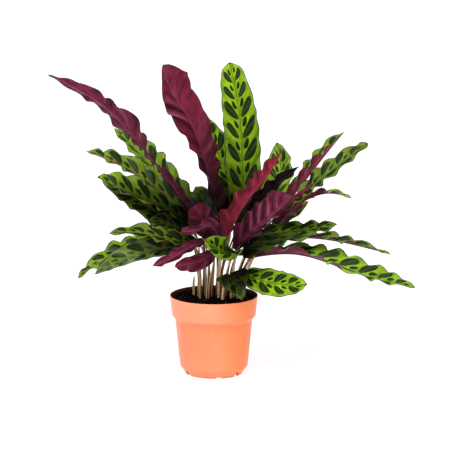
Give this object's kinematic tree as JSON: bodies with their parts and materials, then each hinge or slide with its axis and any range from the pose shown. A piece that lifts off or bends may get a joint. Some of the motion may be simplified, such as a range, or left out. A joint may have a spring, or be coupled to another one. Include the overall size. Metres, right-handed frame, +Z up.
{
  "type": "potted calathea",
  "caption": "Calathea with long ruffled lance leaves, patterned green above and purple below, on slender stems in a round nursery pot.",
  "frame": {"origin": "middle of the pot's foot ring, on the ground it stands on", "axes": "+Z up along the pot's axis, +X to the right and -Y to the front of the plant as it is seen; +X is the widest way across the leaves"},
  "size_m": [0.56, 0.2387, 0.505],
  "materials": {
    "pot_plastic": "satin",
    "soil_peat": "matte",
    "stem_tan": "satin",
    "leaf_green": "satin"
  },
  "bodies": {
    "root": {"pot": "pot_plastic", "soil": "soil_peat", "stem_01": "stem_tan", "stem_02": "stem_tan", "stem_03": "stem_tan", "stem_04": "stem_tan", "stem_05": "stem_tan", "stem_06": "stem_tan", "stem_07": "stem_tan", "stem_08": "stem_tan", "stem_09": "stem_tan", "stem_10": "stem_tan", "stem_11": "stem_tan", "stem_12": "stem_tan", "stem_13": "stem_tan", "stem_14": "stem_tan", "stem_15": "stem_tan", "stem_16": "stem_tan", "stem_17": "stem_tan", "stem_18": "stem_tan", "stem_19": "stem_tan", "stem_20": "stem_tan", "stem_21": "stem_tan", "stem_22": "stem_tan", "stem_23": "stem_tan", "stem_24": "stem_tan", "young_leaf": "leaf_green", "young_shoot": "stem_tan", "leaf_01": "leaf_green", "leaf_02": "leaf_green", "leaf_03": "leaf_green", "leaf_04": "leaf_green", "leaf_05": "leaf_green", "leaf_06": "leaf_green", "leaf_07": "leaf_green", "leaf_08": "leaf_green", "leaf_09": "leaf_green", "leaf_10": "leaf_green", "leaf_11": "leaf_green", "leaf_12": "leaf_green", "leaf_13": "leaf_green", "leaf_14": "leaf_green", "leaf_15": "leaf_green", "leaf_16": "leaf_green", "leaf_17": "leaf_green", "leaf_18": "leaf_green", "leaf_19": "leaf_green", "leaf_20": "leaf_green", "leaf_21": "leaf_green", "leaf_22": "leaf_green", "leaf_23": "leaf_green", "leaf_24": "leaf_green", "leaf_25": "leaf_green", "leaf_26": "leaf_green", "leaf_27": "leaf_green", "leaf_28": "leaf_green", "leaf_29": "leaf_green", "leaf_30": "leaf_green", "leaf_31": "leaf_green", "leaf_32": "leaf_green"}
  },
  "joints": []
}
